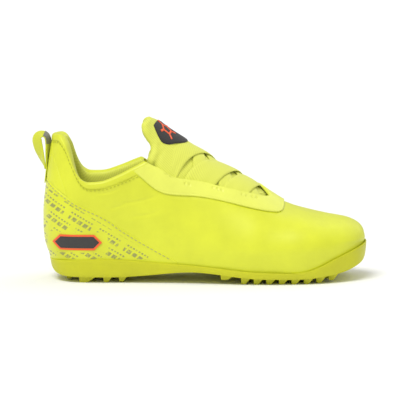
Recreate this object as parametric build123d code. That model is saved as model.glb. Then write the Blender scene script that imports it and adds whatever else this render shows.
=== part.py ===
"""Right-foot turf shoe, youth size EU 35 (UK 2.5), as separate pieces.

Working frame while modelling, in millimetres: x runs from the back of the heel (0) to the toe,
+y is the inner (medial) side, -y the outer (lateral) side, and z = 0 is the ground under the studs.
At the end every piece is moved together, so that the origin is under the middle of the whole shoe.

The foot form is one family of nested surfaces. surface(depth) is the closed form whose skin lies
`depth` below the outside of the upper, so a layer of the shoe is surface(a) minus surface(b).
"""

from build123d import *
import math
import os

# ---------------------------------------------------------------- driving dimensions
UPPER_LENGTH = 240.6         # x of the upper's own toe; the sole reaches 2 mm further
HEEL_NOSE = 28.0             # plan length of the rounding at the heel
TOE_NOSE = 50.0              # plan length of the rounding at the toe
WIDEST_HEIGHT = 24.0         # height at which the upper is widest
FAR = 160.0                  # half size of the cutting blocks

SHELL = 1.2                  # thickness of the upper's synthetic leather
BACKING = 0.65               # eyestay backing and toe puff
LINING = 0.8
COUNTER = 1.25
PANEL = 0.5                  # heel panel, backstay
FACING = 0.9                 # eyestay
GAP = 0.15                   # glue line between two layers
LACE = 0.9
LACE_WIDTH = 9.0
TONGUE = 3.0
MARGIN = 11.0                # width of the upper's edge turned in under the insole board
CUP_WALL = 2.1               # how far the sole's wall stands out from the upper
RIM_HEIGHT = 4.0             # height of the rolled edge of the ankle opening

# Depths of the layers under the outside skin, from outside to inside.
BACKING_AT = SHELL + GAP
LACE_TOP_AT = BACKING_AT + BACKING + GAP
LACE_LOW_AT = LACE_TOP_AT + LACE + GAP
TONGUE_AT = LACE_LOW_AT + LACE + GAP
VAMP_LINING_AT = LACE_TOP_AT
CUP_CAVITY_AT = -0.75


def smooth(table):
    """Monotone cubic through (x, value) pairs, constant past both ends."""
    xs = [x for x, _ in table]
    vs = [v for _, v in table]
    slopes = [(vs[i + 1] - vs[i]) / (xs[i + 1] - xs[i]) for i in range(len(xs) - 1)]
    tangents = [slopes[0]]
    for before, after in zip(slopes, slopes[1:]):
        level = before * after <= 0
        tangents.append(0.0 if level else 2 * before * after / (before + after))
    tangents.append(slopes[-1])

    def value(x):
        if x <= xs[0]:
            return vs[0]
        if x >= xs[-1]:
            return vs[-1]
        i = max(k for k in range(len(xs) - 1) if xs[k] <= x)
        span = xs[i + 1] - xs[i]
        t = (x - xs[i]) / span
        rise = vs[i + 1] - vs[i]
        a = tangents[i] * span
        b = tangents[i + 1] * span
        return vs[i] + t * (a + t * (3 * rise - 2 * a - b + t * (a + b - 2 * rise)))

    return value


# ---------------------------------------------------------------- form of the foot
# Plan: middle line, and half widths out to the lateral and to the medial side.
middle = smooth([(0, 0), (60, 0), (100, 2), (130, 4.5), (160, 6.5), (200, 7.5), (240, 7.5)])
lateral = smooth([(0, 29), (30, 29.7), (62, 29.7), (95, 33.5), (130, 42), (160, 48), (185, 48),
                  (212, 43), (240, 37)])
medial = smooth([(0, 29), (30, 29.5), (62, 27), (95, 26), (130, 30), (165, 35), (190, 35),
                 (215, 32), (240, 27)])
# Side view: back of the heel by height, and height of the top ridge along the shoe.
heel_back = smooth([(0, 9), (12, 7.2), (18, 6), (24, 2.6), (30, 0.9), (40, 0), (50, 0),
                    (72, 2), (95, 5), (110, 7.8), (130, 11)])
ridge = smooth([(0, 250), (50, 228), (68, 170), (77, 136), (82, 123), (88.5, 116.3), (106.5, 104),
                (121, 94.8), (129, 89.3), (142.5, 81.6), (151.5, 76.6), (160.5, 70.6),
                (169.5, 64.2), (184, 55.6), (196, 51.6), (212, 47.9), (227, 44.9), (234.3, 41.4),
                (238.4, 36.8), (UPPER_LENGTH, 27.5)])
# Cross-section across the foot: powers of the arch (2, 2 is an ellipse, more is squarer).
arch_height_power = smooth([(0, 2.2), (80, 2.2), (96, 2.0), (125, 1.7), (151, 1.6), (175, 1.8),
                            (200, 2.2), (240, 2.5)])
arch_width_power = smooth([(0, 2.2), (80, 2.2), (96, 1.95), (125, 1.8), (151, 1.7), (180, 1.8),
                           (205, 2.2), (240, 2.4)])
heel_lean = smooth([(24, 1), (50, 0.985), (75, 0.93), (95, 0.84), (110, 0.77), (130, 0.7)])
heel_lean_reach = smooth([(35, 1), (75, 0)])
tuck_under = smooth([(-4, 0.9), (8, 0.95), (WIDEST_HEIGHT, 1)])

LEVELS = [-4, 10, 20, 27, 33, 37.5, 41.5, 44.5, 47, 50, 54, 59, 65, 72, 80, 88, 96, 104, 113, 130]
RING_STEPS = 12              # points down each side of a level


def toe_reach(z):
    """Where the top ridge comes down to height z."""
    if z <= ridge(UPPER_LENGTH):
        return UPPER_LENGTH - 0.1 * (ridge(UPPER_LENGTH) - z)
    low, high = 0.0, UPPER_LENGTH
    for _ in range(40):
        mid = (low + high) / 2
        if ridge(mid) > z:
            low = mid
        else:
            high = mid
    return low


def rounding(distance, length, power):
    """Width factor at a distance in from a rounded end."""
    if distance >= length:
        return 1.0
    return max(0.0, 1 - (1 - distance / length) ** power) ** (1 / power)


def half_width(x, z, side):
    """Distance from the middle line to the skin at height z, side -1 lateral, +1 medial."""
    width = (lateral if side < 0 else medial)(x)
    width *= rounding(x - heel_back(z), HEEL_NOSE, 2.2) * rounding(UPPER_LENGTH - x, TOE_NOSE, 2.3)
    width *= 1 - (1 - heel_lean(z)) * heel_lean_reach(x)
    if z <= WIDEST_HEIGHT:
        return width * tuck_under(z)
    share = min(1.0, (z - WIDEST_HEIGHT) / (ridge(x) - WIDEST_HEIGHT))
    return width * (1 - share ** arch_height_power(x)) ** (1 / arch_width_power(x))


def drop_share(z):
    """How much of a depth is taken downwards: none on the walls, most on the sloping top."""
    return 0.8 * min(1.0, max(0.0, (z - 33) / 15))


def ring(z, depth):
    """Level outline of surface(depth), as a closed curve with evenly numbered points."""
    back, front = heel_back(z), toe_reach(z)
    sides = {-1: [], 1: []}
    for side, points in sides.items():
        for i in range(1, RING_STEPS):
            turn = math.pi * i / RING_STEPS
            x = back + (front - back) * (1 - math.cos(turn)) / 2
            y = half_width(x, z, side) - depth * math.sqrt(math.sin(turn))
            points.append((x + depth * math.cos(turn), middle(x) + side * max(y, 0.3)))
    outline = [(back + depth, middle(back))] + sides[-1]
    outline += [(front - depth, middle(front))] + sides[1][::-1]
    height = z - drop_share(z) * depth
    count = len(outline)
    return Wire([Edge.make_spline([(x, y, height) for x, y in outline], periodic=True,
                                  parameters=[i / count for i in range(count + 1)])])


made_surfaces = {}


def surface(depth):
    """Solid foot form inside the skin at a depth, which is a number or a function of height."""
    key = depth if isinstance(depth, (int, float)) else id(depth)
    if key not in made_surfaces:
        at = depth if callable(depth) else (lambda z: depth)
        made_surfaces[key] = Solid.make_loft([ring(z, at(z)) for z in LEVELS], ruled=True)
    return made_surfaces[key]


# ---------------------------------------------------------------- cutting blocks
def side_block(line, edge_height):
    """Everything between a line in side view and a far height, through the whole width."""
    curve = Edge.make_spline([(x, 0, z) for x, z in line])
    (x0, z0), (x1, z1) = line[0], line[-1]
    far = [(x1, 0, z1), (x1, 0, edge_height), (x0, 0, edge_height), (x0, 0, z0)]
    straight = [Edge.make_line(a, b) for a, b in zip(far, far[1:])]
    face = Face(Wire([curve] + straight))
    return Solid.extrude(face, Vector(0, 2 * FAR, 0)).moved(Location((0, -FAR, 0)))


def below(line, shift=0.0):
    return side_block([(x, z + shift) for x, z in line], -FAR)


def above(line, shift=0.0):
    return side_block([(x, z + shift) for x, z in line], FAR)


def between(line, low, high):
    """The band of a side-view line from low to high, both measured up from it."""
    return below(line, high) - below(line, low)


def between_lines(low_line, low_shift, high_line, high_shift):
    return below(high_line, high_shift) - below(low_line, low_shift)


def plan_block(outline, low, high=FAR):
    """A straight-sided plan outline as an upright prism."""
    face = Face(Wire.make_polygon([(x, y, low) for x, y in outline], close=True))
    return Solid.extrude(face, Vector(0, 0, high - low))


def side_prism(corners):
    """A side-view outline of (x, z) corners, pushed through the whole width."""
    face = Face(Wire.make_polygon([(x, -FAR, z) for x, z in corners], close=True))
    return Solid.extrude(face, Vector(0, 2 * FAR, 0))


def box_between(x0, x1, y0=-FAR, y1=FAR, z0=-FAR, z1=FAR):
    return Solid.make_box(x1 - x0, y1 - y0, z1 - z0).moved(Location((x0, y0, z0)))


# ---------------------------------------------------------------- side-view lines (x, z)
SOLE_BOTTOM = [(1, 30), (3, 20), (4.6, 13), (6.2, 9.6), (9.2, 6.6), (15, 4.8), (24, 4.4), (60, 4.6),
               (86, 6.8), (112, 8.8), (134, 7), (152, 4.9), (177, 4.0), (197, 4.2), (212, 5.8),
               (226, 8.6), (236, 12.8), (239.4, 15), (241.4, 18.6), (242, 30)]
SIDEWALL_TOP = [(-6, 15.8), (7, 16), (16, 16.6), (40, 18), (62, 17.5), (90, 15.4), (120, 13.3),
                (154, 9.9), (175, 8.9), (192, 9.2), (203, 12), (214, 17), (229, 23), (246, 29)]
SOLE_INSIDE = [(-6, 15), (4, 12.6), (10, 9.6), (24, 6.8), (60, 6.6), (86, 8.8), (112, 10.8), (134, 9),
               (152, 6.9), (177, 6), (197, 6.2), (212, 8), (226, 11.6), (236, 15.6), (246, 19.6)]
FEATHER = [(-6, 14.6), (40, 14.3), (86, 13.6), (112, 12.8), (134, 10.8), (152, 8.9), (177, 7.9),
           (197, 8.1), (212, 10), (226, 13.6), (246, 21)]
COLLAR = [(-6, 106), (4, 108.6), (12, 108.8), (17, 103), (20.5, 94), (24, 85), (28, 77.6), (34, 74.2),
          (43, 74.8), (56, 79.4), (68, 85.4), (79, 91)]
EYESTAY_EDGE = [(60, 88), (69, 82.5), (82, 71), (89, 67.2), (98, 65.4), (113, 64.6), (128, 62.2),
                (147, 57.6), (170, 52.8), (176, 53), (180, 56), (181, 62)]
HEEL_PANEL_EDGE = [(-6, 90), (3, 76.5), (12, 68.5), (27, 58.5), (42, 51), (57, 41.5), (72, 32.5),
                   (91, 21.8), (104, 14)]
BACKSTAY = [(-30, 66), (19, 66), (14, 78), (10.5, 88), (8.6, 93), (7.5, 98), (7.2, 112), (-30, 112)]

# Throat: how far the lacing opening reaches out from the middle line. The middle line bends to the
# medial side in the forefoot and the opening runs straight on, so its front end crosses the line.
LATERAL_REACH = [(60, 27), (79, 26.5), (96, 26), (125, 25.3), (148, 23.6), (156, 22), (162, 19.5),
                 (166.5, 15.8)]
MEDIAL_REACH = [(60, 25), (79, 22.5), (88, 20.5), (96, 18.8), (125, 15), (148, 11.5), (156, 8), (162, 2.5),
                (166.5, -4.5)]
THROAT_END = 169.0
THROAT_TIP = -10.5           # y of the opening's front end from the middle line
THROAT_REACH = {-1: smooth(LATERAL_REACH), 1: smooth(MEDIAL_REACH)}
# The lace: x of each run's rear end and of its front end on the other side of the throat, how low
# the ends go under the facing (x, z), and where the webbing loops sit that hold them.
LACE_RUNS = [(89.4, 132.0), (119.3, 150.0), (146.5, 163.0)]
LACE_END = [(-20, 86), (90, 74.5), (118, 69.5), (144, 62.5), (165, 57), (260, 38)]
LACE_LOOPS = [89.4, 119.3, 132.0, 148.0, 163.0]
LINING_EDGE = [(80, -20), (80, 70), (90, 68.6), (118, 63.8), (144, 56.4), (160, 50.8), (170, 50.4),
               (176.5, 52.8), (179, 61), (179, 90), (300, 90), (300, -20)]


def throat_edge(x, side, margin=0.0):
    """y of the lacing opening's edge, moved outwards by a margin."""
    return middle(x) + side * (THROAT_REACH[side](x) + margin)


def throat(margin=0.0):
    """Upright prism through the lacing opening, wider all round by a margin."""
    stations = [x for x, _ in LATERAL_REACH]
    outline = [(x + margin, throat_edge(x, -1, margin), 0) for x in stations]
    outline += [(THROAT_END + margin, middle(THROAT_END) + THROAT_TIP, 0)]
    outline += [(x + margin, throat_edge(x, 1, margin), 0) for x in stations[::-1]]
    edges = [Edge.make_spline(outline), Edge.make_line(outline[-1], outline[0])]
    return Solid.extrude(Face(Wire(edges)), Vector(0, 0, FAR)).moved(Location((0, 0, 30)))


def collar_opening(shift=0.0):
    """Everything over the ankle line, moved up or down by a shift."""
    return above(COLLAR, shift)


def layer(outside, inside):
    return surface(outside) - surface(inside)


# ---------------------------------------------------------------- sole unit
def cup_form():
    """Outside of the sole's side wall, with a bevel under the edge and a slight flare."""
    flare = [(-3, 0.6), (2, 1.3), (6, 1.9), (12, CUP_WALL), (20, CUP_WALL), (30, CUP_WALL), (40, 1.6)]
    return Solid.make_loft([ring(z, -out) for z, out in flare])


def wedge(x, y, length, width, height, base):
    """A stud with a steep rear face and a sloping front, hanging from height `base`."""
    foot = length * 0.45
    side = [(x, base), (x + 0.6, base - height), (x + foot, base - height), (x + length, base)]
    face = Face(Wire.make_polygon([(px, y - width / 2, pz) for px, pz in side], close=True))
    return Solid.extrude(face, Vector(0, width, 0))


def round_stud(x, y, radius, height, base):
    return Solid.make_cone(radius * 0.78, radius, height).moved(Location((x, y, base - height)))


STUD_ROOT = 1.2              # how far a stud reaches up into the sole; stud tips are at z = 0
FOREFOOT_PITCH = 9.3
FOREFOOT_ROW_START = 147.0
FOREFOOT_ROW_COUNT = 8
bottom_height = smooth([(x, z) for x, z in SOLE_BOTTOM if 9 < x < 241])


def edge_y(x, side, inset):
    """y of the sole's edge at x, an inset in from the side."""
    return middle(x) + side * (half_width(x, 8, side) - inset)


def studs():
    """All moulded studs: edge rows of wedges, a heel group and round ones in between."""
    made = []

    def hang(maker, x, y, length, width, tip):
        base = bottom_height(x + length / 2) + STUD_ROOT
        made.append(maker(x, y, length, width, base - tip, base))

    for side in (-1, 1):
        for i in range(FOREFOOT_ROW_COUNT):
            x = FOREFOOT_ROW_START + i * FOREFOOT_PITCH
            lift = max(0.0, bottom_height(x + 4) - 4.6)
            hang(wedge, x, edge_y(x + 4, side, 7.5), 8.4, 9.0, lift)
        hang(wedge, 132, edge_y(138, side, 6.5), 12.5, 7.0, 3.2)
        hang(wedge, 27, edge_y(34, side, 7.5), 14.5, 9.5, 0)
        hang(wedge, 45, edge_y(49, side, 7.0), 8.0, 8.5, 0)
        hang(wedge, 56.5, edge_y(60, side, 7.0), 7.5, 8.0, 0.6)
        hang(wedge, 17, side * 8.5 + middle(17), 8.0, 8.5, 0.8)
    for row, x in enumerate([152, 164, 176, 188, 200, 212]):
        lift = max(0.0, bottom_height(x) - 4.6)
        across = [-18, 0, 18] if row % 2 else [-9, 9]
        for y in across:
            share = min(1.0, half_width(x, 8, -1) / 46)
            base = bottom_height(x) + STUD_ROOT
            made.append(round_stud(x, middle(x) - 3 + y * share, 3.4, base - lift, base))
    for x, y in [(33, 0), (48, -6), (48, 6), (61, 0)]:
        base = bottom_height(x) + STUD_ROOT
        made.append(round_stud(x, y, 3.2, base, base))
    return made


def make_outsole():
    block = cup_form() & above(SOLE_BOTTOM) & below(SIDEWALL_TOP)
    cavity = surface(CUP_CAVITY_AT) & above(SOLE_INSIDE)
    cup = block - cavity
    return cup.fuse(*studs())


def make_midsole():
    return surface(CUP_CAVITY_AT + 0.2) & between_lines(SOLE_INSIDE, GAP, FEATHER, -GAP)


def make_bottom_filler():
    return surface(MARGIN + 1.0) & between(FEATHER, 0.0, SHELL)


def make_insole_board():
    return surface(SHELL + GAP) & between(FEATHER, SHELL + GAP, SHELL + GAP + 1.4)


INSIDE_FLOOR = SHELL + GAP + 1.4 + GAP    # above the feather line


def make_sockliner():
    return surface(4.3) & between(FEATHER, INSIDE_FLOOR, INSIDE_FLOOR + 3.5)


# ---------------------------------------------------------------- upper
def make_upper_shell():
    outside = surface(0) & above(FEATHER)
    inside = surface(SHELL) & above(FEATHER, SHELL)
    margin_hole = surface(MARGIN) & below(FEATHER, 5.0)
    return outside - inside - margin_hole - collar_opening(-RIM_HEIGHT - GAP) - throat()


def make_vamp_lining():
    skin = layer(VAMP_LINING_AT, VAMP_LINING_AT + LINING) & box_between(86, 300)
    return (skin & side_prism(LINING_EDGE) & above(FEATHER, INSIDE_FLOOR)) - throat(1.5)


def make_toe_puff():
    return layer(BACKING_AT, BACKING_AT + BACKING) & box_between(206, 300) & above(FEATHER, INSIDE_FLOOR)


def make_heel_counter():
    line = [(-6, 62), (20, 62), (45, 56), (62, 42), (76, 22), (80, 10)]
    return layer(BACKING_AT, BACKING_AT + COUNTER) & below(line) & above(FEATHER, INSIDE_FLOOR)


# The ankle lining lies close to the counter low down and over thick foam near the top.
lining_depth = smooth([(45, BACKING_AT + COUNTER + GAP), (72, 6.6), (130, 6.6)])


def lining_inner_depth(z):
    return lining_depth(z) + LINING


def foam_inner_depth(z):
    return lining_depth(z) - GAP


def rim_inner_depth(z):
    return lining_depth(z) + LINING + 0.3


def make_collar_lining():
    skin = surface(lining_depth) - surface(lining_inner_depth)
    skin = skin & box_between(-20, 85.6) & above(FEATHER, INSIDE_FLOOR)
    return skin - collar_opening(-RIM_HEIGHT - GAP) - throat(1.5)


def make_collar_foam():
    foam_bottom = [(-6, 66), (30, 63.5), (60, 66), (86, 70)]
    pad = surface(BACKING_AT) - surface(foam_inner_depth)
    pad = pad & box_between(-20, 78) & above(foam_bottom)
    return pad - collar_opening(-RIM_HEIGHT - GAP) - throat(1.5)


def make_collar_binding():
    band = surface(-0.5) - surface(rim_inner_depth)
    band = band & below(COLLAR) & collar_opening(-RIM_HEIGHT)
    return band & box_between(-20, 78.8)


def make_heel_panel():
    return layer(-PANEL - 0.1, -0.1) & below(HEEL_PANEL_EDGE) & above(FEATHER, 1)


def make_backstay():
    strap = layer(-PANEL - 0.1, -0.1) & above(HEEL_PANEL_EDGE, 0.4) & side_prism(BACKSTAY)
    return strap & below(COLLAR, -RIM_HEIGHT - GAP)


def eyestay_region():
    """Upright region of the lace facing in side view, from the collar to in front of the throat."""
    return side_prism(EYESTAY_EDGE + [(EYESTAY_EDGE[-1][0], 120), (EYESTAY_EDGE[0][0], 120)])


def make_eyestay():
    facing = layer(-FACING - 0.1, -0.1) & eyestay_region()
    return facing - collar_opening(-RIM_HEIGHT - GAP) - throat()


def make_eyestay_backing():
    stay = layer(BACKING_AT, BACKING_AT + BACKING) & eyestay_region() & box_between(80, 178)
    return stay - throat(0.6)


# ---------------------------------------------------------------- heel badge
BADGE_X = 26.0
BADGE_Z = 30.5
BADGE_LENGTH = 33.0
BADGE_HEIGHT = 8.4


def lozenge(x, z, length, height):
    """Long hexagon in side view, pushed through the whole width."""
    half, flat = length / 2, length / 2 - height / 2
    return side_prism([(x - half, z), (x - flat, z + height / 2), (x + flat, z + height / 2),
                       (x + half, z), (x + flat, z - height / 2), (x - flat, z - height / 2)])


def make_heel_badge():
    skin = layer(-PANEL - 0.7, -PANEL - 0.2)
    return skin & lozenge(BADGE_X, BADGE_Z, BADGE_LENGTH, BADGE_HEIGHT)


def make_heel_badge_edge():
    skin = layer(-PANEL - 0.8, -PANEL - 0.2)
    outer = lozenge(BADGE_X, BADGE_Z, BADGE_LENGTH + 4.2, BADGE_HEIGHT + 3.0)
    return (skin & outer) - lozenge(BADGE_X, BADGE_Z, BADGE_LENGTH + 0.3, BADGE_HEIGHT + 0.3)


# ---------------------------------------------------------------- tongue
# Side view of the line where the free end starts: it follows the rear edges of that crossing.
TONGUE_CUT = [(-20, 40), (60, 76), (76, 87), (82.8, 92.8), (89, 101.5), (95, 105.6), (101, 105.2),
              (107.8, 103.4), (116, 101), (150, 90), (260, 75)]
TONGUE_SIDE_LOW = [(40, 66), (110, 62), (150, 56), (200, 50)]
TONGUE_TIP_HEIGHT = 121.5
# Side view of the free end: its edges lean back from the facing, then round over at the tip.
FREE_END = [(86, 82), (83.5, 92), (81, 99.5), (77, 107), (74.4, 113), (74.6, 117), (76.4, 120.2), (79, 123),
            (200, 160), (200, 82)]


def tongue_strip():
    """Plan of the tongue: under both edges of the facing, rounded at the front."""
    return throat(7.0) & box_between(62, 176)


def make_tongue_base():
    strip = tongue_strip() & below(TONGUE_CUT, -0.35) & box_between(80, 176)
    return layer(TONGUE_AT, TONGUE_AT + TONGUE) & strip & above(TONGUE_SIDE_LOW)


def tongue_front_outline(margin=0.0):
    """Front view of the free end: straight sides and a rounded top, as a block along x."""
    half, top, corner = 24.5 - margin, TONGUE_TIP_HEIGHT - margin, 15.0
    low = 60.0
    y = middle(90)
    edges = [
        Edge.make_line((0, y - half, low), (0, y - half, top - corner)),
        Edge.make_three_point_arc((0, y - half, top - corner),
                                  (0, y - half + corner * 0.293, top - corner * 0.293),
                                  (0, y - half + corner, top)),
        Edge.make_line((0, y - half + corner, top), (0, y + half - corner, top)),
        Edge.make_three_point_arc((0, y + half - corner, top),
                                  (0, y + half - corner * 0.293, top - corner * 0.293),
                                  (0, y + half, top - corner)),
        Edge.make_line((0, y + half, top - corner), (0, y + half, low)),
        Edge.make_line((0, y + half, low), (0, y - half, low)),
    ]
    return Solid.extrude(Face(Wire(edges)), Vector(200, 0, 0))


def free_end(outside, inside, margin=0.0):
    piece = layer(outside, inside) & above(TONGUE_CUT) & tongue_front_outline(margin)
    return piece & side_prism([(x + margin, z) for x, z in FREE_END])


TONGUE_TOP_AT = 0.6
TONGUE_TOP_THICK = 6.2


def make_tongue_top():
    return free_end(TONGUE_TOP_AT, TONGUE_TOP_AT + TONGUE_TOP_THICK)


def make_tongue_lining():
    inside = TONGUE_TOP_AT + TONGUE_TOP_THICK + GAP
    return free_end(inside, inside + LINING, 1.0)


# Plan of the patch near the tongue's tip: half widths along the shoe, rounded at the corners.
LABEL_HALF_WIDTHS = [(80.6, 5), (82.2, 11), (87, 15.2), (92, 14.6), (99, 11.6), (106, 7), (109.4, 2.5)]


def make_tongue_label():
    low_side = [(x, middle(95) - half, 90) for x, half in LABEL_HALF_WIDTHS]
    high_side = [(x, middle(95) + half, 90) for x, half in LABEL_HALF_WIDTHS[::-1]]
    outline = Edge.make_spline(low_side + high_side, periodic=True)
    patch = Solid.extrude(Face(Wire([outline])), Vector(0, 0, 29))
    return layer(TONGUE_TOP_AT - 0.65, TONGUE_TOP_AT - 0.15) & patch


MARK_CENTRE = (93.0, 1.6)
MARK_RING = 5.0              # corner radius of the mark's five-sided ring
MARK_REACH = 10.6            # how far its bars reach out
MARK_BAR = 1.7


def make_label_mark():
    """Five-sided ball panel with a seam running out from each corner, with no lettering."""
    centre_x, centre_y = MARK_CENTRE
    corners = [math.radians(72 * k + 18) for k in range(5)]

    def at(radius, angle, sideways=0.0):
        return (centre_x + radius * math.cos(angle) - sideways * math.sin(angle),
                centre_y + radius * math.sin(angle) + sideways * math.cos(angle))

    def panel(size):
        return plan_block([at(size, angle) for angle in corners], low=90, high=118.5)

    half = MARK_BAR / 2
    bars = [plan_block([at(3.6, a, -half), at(MARK_REACH, a, -half), at(MARK_REACH, a, half),
                        at(3.6, a, half)], low=90, high=118.5) for a in corners]
    mark = (panel(MARK_RING) - panel(MARK_RING * 0.55)).fuse(*bars)
    return layer(TONGUE_TOP_AT - 1.1, TONGUE_TOP_AT - 0.8) & mark


# ---------------------------------------------------------------- lacing
def lace_strip(x_low, side_low, x_high):
    """Plan strip of one lace run, from a row on one side to a row on the other."""
    start = Vector(x_low, throat_edge(x_low, side_low))
    end = Vector(x_high, throat_edge(x_high, -side_low))
    along = (end - start).normalized()
    across = Vector(-along.Y, along.X) * (LACE_WIDTH / 2)
    start, end = start - along * 15, end + along * 15
    corners = [start + across, end + across, end - across, start - across]
    return plan_block([(c.X, c.Y) for c in corners], low=50) & above(LACE_END)


def make_lace():
    """Three crossings of one flat lace; the run that starts on the outer side lies on top."""
    over, under = [], []
    kept = below(TONGUE_CUT, -0.4)
    upper_layer = layer(LACE_TOP_AT, LACE_TOP_AT + LACE) & kept
    lower_layer = layer(LACE_LOW_AT, LACE_LOW_AT + LACE) & kept
    for rear, front in LACE_RUNS:
        over.append(upper_layer & lace_strip(rear, -1, front))
        under.append(lower_layer & lace_strip(rear, 1, front))
    return over + under


def make_lace_loops():
    """Webbing loops under both edges of the facing, which hold the ends of the runs."""
    loops = []
    band = layer(LACE_TOP_AT, LACE_LOW_AT + LACE)
    strip = between(LACE_END, -5.0, -0.3)
    for x in LACE_LOOPS:
        for low, high in ((-FAR, 0.0), (0.0, FAR)):
            loops.append(band & strip & box_between(x - 4.5, x + 4.5, low, high))
    return loops


# ---------------------------------------------------------------- pull loop at the heel
TAB_WIDTH = 11.0
TAB_THICK = 1.6


def make_pull_tab():
    """Webbing loop: up behind the heel, over the top and down again to the same root."""
    outside = [(-1.2, 84.4), (-4.8, 93.5), (-8.0, 102), (-7.6, 107.4), (-2.2, 109.4), (2.8, 107),
               (3.6, 100), (2.5, 92.5), (0.9, 85)]
    inside = [(-0.4, 88.5), (-3.2, 94.5), (-6.3, 102.3), (-5.9, 106.6), (-2.1, 107.8), (1.3, 105.9),
              (2.0, 100), (0.9, 93)]
    faces = [Face(Wire([Edge.make_spline([(x, 0, z) for x, z in line], periodic=True)]))
             for line in (outside, inside)]
    low, high = [Solid.extrude(face, Vector(0, TAB_WIDTH, 0)) for face in faces]
    return (low - high).moved(Location((0, -TAB_WIDTH / 2, 0)))


def make_tab_anchor():
    patch = layer(-PANEL - 0.95, -PANEL - 0.25)
    return patch & box_between(-5, 12, -TAB_WIDTH / 2, TAB_WIDTH / 2, 72, 83.2)


MAKERS = {
    "outsole": make_outsole,
    "midsole": make_midsole,
    "bottom_filler": make_bottom_filler,
    "insole_board": make_insole_board,
    "sockliner": make_sockliner,
    "upper_shell": make_upper_shell,
    "vamp_lining": make_vamp_lining,
    "toe_puff": make_toe_puff,
    "heel_counter": make_heel_counter,
    "collar_lining": make_collar_lining,
    "collar_foam": make_collar_foam,
    "collar_binding": make_collar_binding,
    "heel_panel": make_heel_panel,
    "backstay": make_backstay,
    "eyestay": make_eyestay,
    "eyestay_backing": make_eyestay_backing,
    "heel_badge": make_heel_badge,
    "heel_badge_edge": make_heel_badge_edge,
    "tongue_base": make_tongue_base,
    "tongue_top": make_tongue_top,
    "tongue_lining": make_tongue_lining,
    "tongue_label": make_tongue_label,
    "label_mark": make_label_mark,
    "lace": make_lace,
    "lace_loops": make_lace_loops,
    "pull_tab": make_pull_tab,
    "tab_anchor": make_tab_anchor,
}


SMALLEST_PIECE = 5.0         # mm3; what a cut leaves under this is a crumb at a corner


def solids_of(made):
    """All solids of a maker's result as one list."""
    if isinstance(made, (list, tuple)):
        return [solid for piece in made for solid in solids_of(piece)]
    return [solid for solid in made.solids() if solid.volume > SMALLEST_PIECE]


def main():
    os.makedirs("parts", exist_ok=True)
    pieces = {name: Compound(children=solids_of(make())) for name, make in MAKERS.items()}
    box = Compound(children=list(pieces.values())).bounding_box()
    centre = Location((-(box.min.X + box.max.X) / 2, -(box.min.Y + box.max.Y) / 2, -box.min.Z))
    for name, piece in pieces.items():
        moved = [solid.moved(centre) for solid in piece.solids()]
        export_step(moved[0] if len(moved) == 1 else Compound(children=moved), f"parts/{name}.step")
    print("moved by", centre.position, "box", box.size)


main()
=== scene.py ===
"""Blender looks for the turf shoe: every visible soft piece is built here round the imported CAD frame.

All lengths in the form section are millimetres in the working frame of the shoe (x from the back of
the heel to the toe, +y medial, z up from the ground). to_frame() turns them into the frame's metres.
"""

import math

import bmesh
import bpy
import numpy as np
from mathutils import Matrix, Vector, noise


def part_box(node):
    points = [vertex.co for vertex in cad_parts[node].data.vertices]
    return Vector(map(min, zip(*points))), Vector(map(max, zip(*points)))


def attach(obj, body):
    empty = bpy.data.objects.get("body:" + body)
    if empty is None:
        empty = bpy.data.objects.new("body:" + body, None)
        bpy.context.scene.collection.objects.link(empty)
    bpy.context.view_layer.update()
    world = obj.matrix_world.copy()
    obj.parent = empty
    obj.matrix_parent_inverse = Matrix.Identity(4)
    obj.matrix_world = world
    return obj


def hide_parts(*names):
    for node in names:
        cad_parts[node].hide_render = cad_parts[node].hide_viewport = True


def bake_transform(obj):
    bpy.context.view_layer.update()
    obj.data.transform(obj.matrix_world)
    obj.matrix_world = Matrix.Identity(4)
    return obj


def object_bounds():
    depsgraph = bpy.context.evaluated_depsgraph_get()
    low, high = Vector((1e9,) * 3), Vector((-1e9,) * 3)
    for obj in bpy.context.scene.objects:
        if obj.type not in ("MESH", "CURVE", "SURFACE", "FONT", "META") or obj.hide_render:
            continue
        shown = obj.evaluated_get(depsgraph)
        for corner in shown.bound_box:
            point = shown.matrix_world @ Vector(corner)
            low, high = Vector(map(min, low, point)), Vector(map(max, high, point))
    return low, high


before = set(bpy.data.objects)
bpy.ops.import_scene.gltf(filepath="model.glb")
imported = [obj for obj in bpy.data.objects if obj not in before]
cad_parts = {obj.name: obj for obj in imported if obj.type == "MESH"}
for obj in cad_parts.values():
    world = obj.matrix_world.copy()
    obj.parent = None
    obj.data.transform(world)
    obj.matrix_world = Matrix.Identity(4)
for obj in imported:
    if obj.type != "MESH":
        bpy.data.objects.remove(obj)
CAD_BOX = [list(corner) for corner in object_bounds()]

MM = 0.001
# The working frame's origin: the heel's rearmost skin is at x = 0, the pull loop is centred on
# y = 0, and the ground is z = 0.
ORIGIN = np.array([
    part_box("upper_shell")[0][0],
    (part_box("pull_tab")[0][1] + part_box("pull_tab")[1][1]) / 2,
    CAD_BOX[0][2],
])


def to_frame(points):
    return np.asarray(points) * MM + ORIGIN


def ramp(value, start, length):
    """0 up to start, then straight up to 1 over a length."""
    return np.clip((value - start) / length, 0, 1)


def bell(value, centre, width):
    """1 at the centre, falling away smoothly on both sides."""
    return np.exp(-((value - centre) / width) ** 2)


def eased(share):
    """0..1 with a soft start and end."""
    return share * share * (3 - 2 * share)


# ---- form of the foot, as in the CAD
UPPER_LENGTH = 240.6
HEEL_NOSE = 28.0
TOE_NOSE = 50.0
WIDEST_HEIGHT = 24.0
# How far the upper stands out over the lip of the sole at the toe and at the heel.
TOE_SWELL = 1.3
HEEL_SWELL = 2.4


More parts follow.
